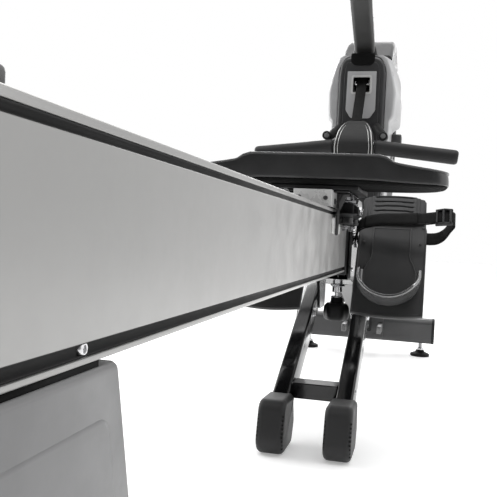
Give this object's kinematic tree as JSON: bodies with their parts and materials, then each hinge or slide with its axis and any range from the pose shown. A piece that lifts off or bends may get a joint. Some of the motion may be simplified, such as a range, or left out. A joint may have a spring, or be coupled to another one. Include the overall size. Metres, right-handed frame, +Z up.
{
  "type": "folding rowing machine",
  "caption": "Folding rowing machine: sliding seat on a straight rail, footplates with straps, pull handle on a webbing strap, flywheel drum and console on an arm.",
  "frame": {"origin": "on the floor, under the middle of the machine's length and width", "axes": "+X to the rower's right, +Y forwards along the rail to the flywheel, +Z up"},
  "size_m": [0.483, 2.28, 1.132],
  "materials": {
    "rail_aluminium": "satin, lightly brushed along its length",
    "frame_gloss_black": "gloss powder coat",
    "frame_grey": "satin powder coat",
    "steel": "bright zinc",
    "cast_wheel": "machined",
    "plastic_black": "fine grained",
    "plastic_charcoal": "satin",
    "plastic_grey": "satin",
    "plastic_silver": "silver lacquer",
    "rubber": "matt",
    "seat_foam": "moulded skin with a soft sheen",
    "webbing": "woven webbing"
  },
  "bodies": {
    "base": {"leg_tube_left": "frame_gloss_black", "leg_tube_right": "frame_gloss_black", "leg_boot_left": "rubber", "leg_boot_right": "rubber", "leg_brace": "frame_gloss_black", "hinge_yoke": "frame_gloss_black", "hinge_pin": "steel", "spine_tube": "frame_gloss_black", "stabiliser_bracket": "frame_grey", "front_stabiliser": "frame_grey", "stabiliser_cap_left": "plastic_black", "stabiliser_cap_right": "plastic_black", "drive_frame": "frame_grey", "drum_cover_left": "plastic_grey", "drum_cover_right": "plastic_grey", "tower_cover": "plastic_charcoal", "tower_side_left": "plastic_silver", "tower_side_right": "plastic_silver", "strap_guide": "plastic_silver", "handle_peg_left": "rubber", "handle_peg_right": "rubber", "console_arm": "plastic_charcoal", "flywheel_axle": "steel", "magnet_bracket": "steel", "drive_belt": "rubber", "pull_strap": "webbing", "foot_plate_left": "plastic_black", "foot_plate_right": "plastic_black", "foot_strap_left": "webbing", "foot_strap_right": "webbing"},
    "rail": {"rail_beam": "rail_aluminium", "rail_end_cap": "plastic_black", "rail_hinge_block": "frame_gloss_black", "rear_stop": "rubber", "rear_leg": "plastic_grey", "rear_foot_bar": "frame_grey"},
    "seat": {"seat_cushion": "seat_foam", "seat_pan": "plastic_black", "seat_carriage": "steel"},
    "handle": {"handle_bar": "steel", "handle_pod": "plastic_charcoal", "grip_left": "rubber", "grip_right": "rubber"},
    "console": {"console_body": "plastic_black"},
    "load_roller_front": {"load_roller_front": "plastic_black"},
    "load_roller_rear": {"load_roller_rear": "plastic_black"},
    "guide_roller_front_left": {"guide_roller_front_left": "plastic_black"},
    "guide_roller_front_right": {"guide_roller_front_right": "plastic_black"},
    "guide_roller_rear_left": {"guide_roller_rear_left": "plastic_black"},
    "guide_roller_rear_right": {"guide_roller_rear_right": "plastic_black"},
    "flywheel": {"flywheel": "cast_wheel"},
    "strap_spool": {"strap_spool": "plastic_black"},
    "idler_roller": {"idler_roller": "plastic_black"},
    "lock_knob": {"lock_knob": "plastic_black"},
    "heel_cup_left": {"heel_cup_left": "plastic_charcoal"},
    "heel_cup_right": {"heel_cup_right": "plastic_charcoal"},
    "levelling_foot_left": {"levelling_foot_left": "rubber"},
    "levelling_foot_right": {"levelling_foot_right": "rubber"},
    "transport_wheel_left": {"transport_wheel_left": "rubber"},
    "transport_wheel_right": {"transport_wheel_right": "rubber"}
  },
  "joints": [
    {"name": "rail_fold", "type": "hinge", "parent": "base", "child": "rail", "pos_m": [0, 0.23, 0.42], "axis": [-1, 0, 0], "range_deg": [0, 85]},
    {"name": "seat_slide", "type": "slide", "parent": "rail", "child": "seat", "axis": [0, -1, 0], "range_m": [0, 0.84]},
    {"name": "handle_pull", "type": "slide", "parent": "base", "child": "handle", "axis": [0, -0.9781, 0.2079], "range_m": [0, 1.1], "stiffness_N_per_m": 12, "springref_m": -0.6},
    {"name": "console_tilt", "type": "hinge", "parent": "base", "child": "console", "pos_m": [0, 0.2607, 1.0222], "axis": [1, 0, 0], "range_deg": [-10, 25]},
    {"name": "flywheel_spin", "type": "hinge", "parent": "base", "child": "flywheel", "pos_m": [0, 0.86, 0.66], "axis": [1, 0, 0], "continuous": true},
    {"name": "spool_spin", "type": "hinge", "parent": "base", "child": "strap_spool", "pos_m": [0, 0.605, 0.6], "axis": [1, 0, 0], "continuous": true},
    {"name": "idler_spin", "type": "hinge", "parent": "base", "child": "idler_roller", "pos_m": [0, 0.565, 0.765], "axis": [1, 0, 0], "continuous": true},
    {"name": "lock_pull", "type": "slide", "parent": "base", "child": "lock_knob", "axis": [0, 0, -1], "range_m": [0, 0.012], "stiffness_N_per_m": 1500, "springref_m": -0.004},
    {"name": "heel_slide_left", "type": "slide", "parent": "base", "child": "heel_cup_left", "axis": [0, 0.5795, 0.815], "range_m": [0, 0.04]},
    {"name": "foot_turn_left", "type": "hinge", "parent": "base", "child": "levelling_foot_left", "pos_m": [-0.18, 1.078, 0.02], "axis": [0, 0, 1], "continuous": true},
    {"name": "wheel_spin_left", "type": "hinge", "parent": "base", "child": "transport_wheel_left", "pos_m": [-0.1, 1.117, 0.068], "axis": [1, 0, 0], "continuous": true},
    {"name": "heel_slide_right", "type": "slide", "parent": "base", "child": "heel_cup_right", "axis": [0, 0.5795, 0.815], "range_m": [0, 0.04]},
    {"name": "foot_turn_right", "type": "hinge", "parent": "base", "child": "levelling_foot_right", "pos_m": [0.18, 1.078, 0.02], "axis": [0, 0, 1], "continuous": true},
    {"name": "wheel_spin_right", "type": "hinge", "parent": "base", "child": "transport_wheel_right", "pos_m": [0.1, 1.117, 0.068], "axis": [1, 0, 0], "continuous": true},
    {"name": "load_roller_rear_spin", "type": "hinge", "parent": "seat", "child": "load_roller_rear", "pos_m": [0, -0.14, 0.4228], "axis": [1, 0, 0], "continuous": true},
    {"name": "load_roller_front_spin", "type": "hinge", "parent": "seat", "child": "load_roller_front", "pos_m": [0, -0.01, 0.4228], "axis": [1, 0, 0], "continuous": true},
    {"name": "guide_roller_rear_left_spin", "type": "hinge", "parent": "seat", "child": "guide_roller_rear_left", "pos_m": [-0.047, -0.125, 0.4035], "axis": [0, 0, 1], "continuous": true},
    {"name": "guide_roller_rear_right_spin", "type": "hinge", "parent": "seat", "child": "guide_roller_rear_right", "pos_m": [0.047, -0.125, 0.4035], "axis": [0, 0, 1], "continuous": true},
    {"name": "guide_roller_front_left_spin", "type": "hinge", "parent": "seat", "child": "guide_roller_front_left", "pos_m": [-0.047, -0.025, 0.4035], "axis": [0, 0, 1], "continuous": true},
    {"name": "guide_roller_front_right_spin", "type": "hinge", "parent": "seat", "child": "guide_roller_front_right", "pos_m": [0.047, -0.025, 0.4035], "axis": [0, 0, 1], "continuous": true}
  ],
  "couplings": [
    {"joint": "load_roller_rear_spin", "follows": "seat_slide", "rad_per_m": 86.957},
    {"joint": "load_roller_front_spin", "follows": "seat_slide", "rad_per_m": 86.957},
    {"joint": "guide_roller_rear_left_spin", "follows": "seat_slide", "rad_per_m": 51.282},
    {"joint": "guide_roller_rear_right_spin", "follows": "seat_slide", "rad_per_m": -51.282},
    {"joint": "guide_roller_front_left_spin", "follows": "seat_slide", "rad_per_m": 51.282},
    {"joint": "guide_roller_front_right_spin", "follows": "seat_slide", "rad_per_m": -51.282},
    {"joint": "spool_spin", "follows": "handle_pull", "rad_per_m": -43.29},
    {"joint": "idler_spin", "follows": "handle_pull", "rad_per_m": 66.225}
  ]
}
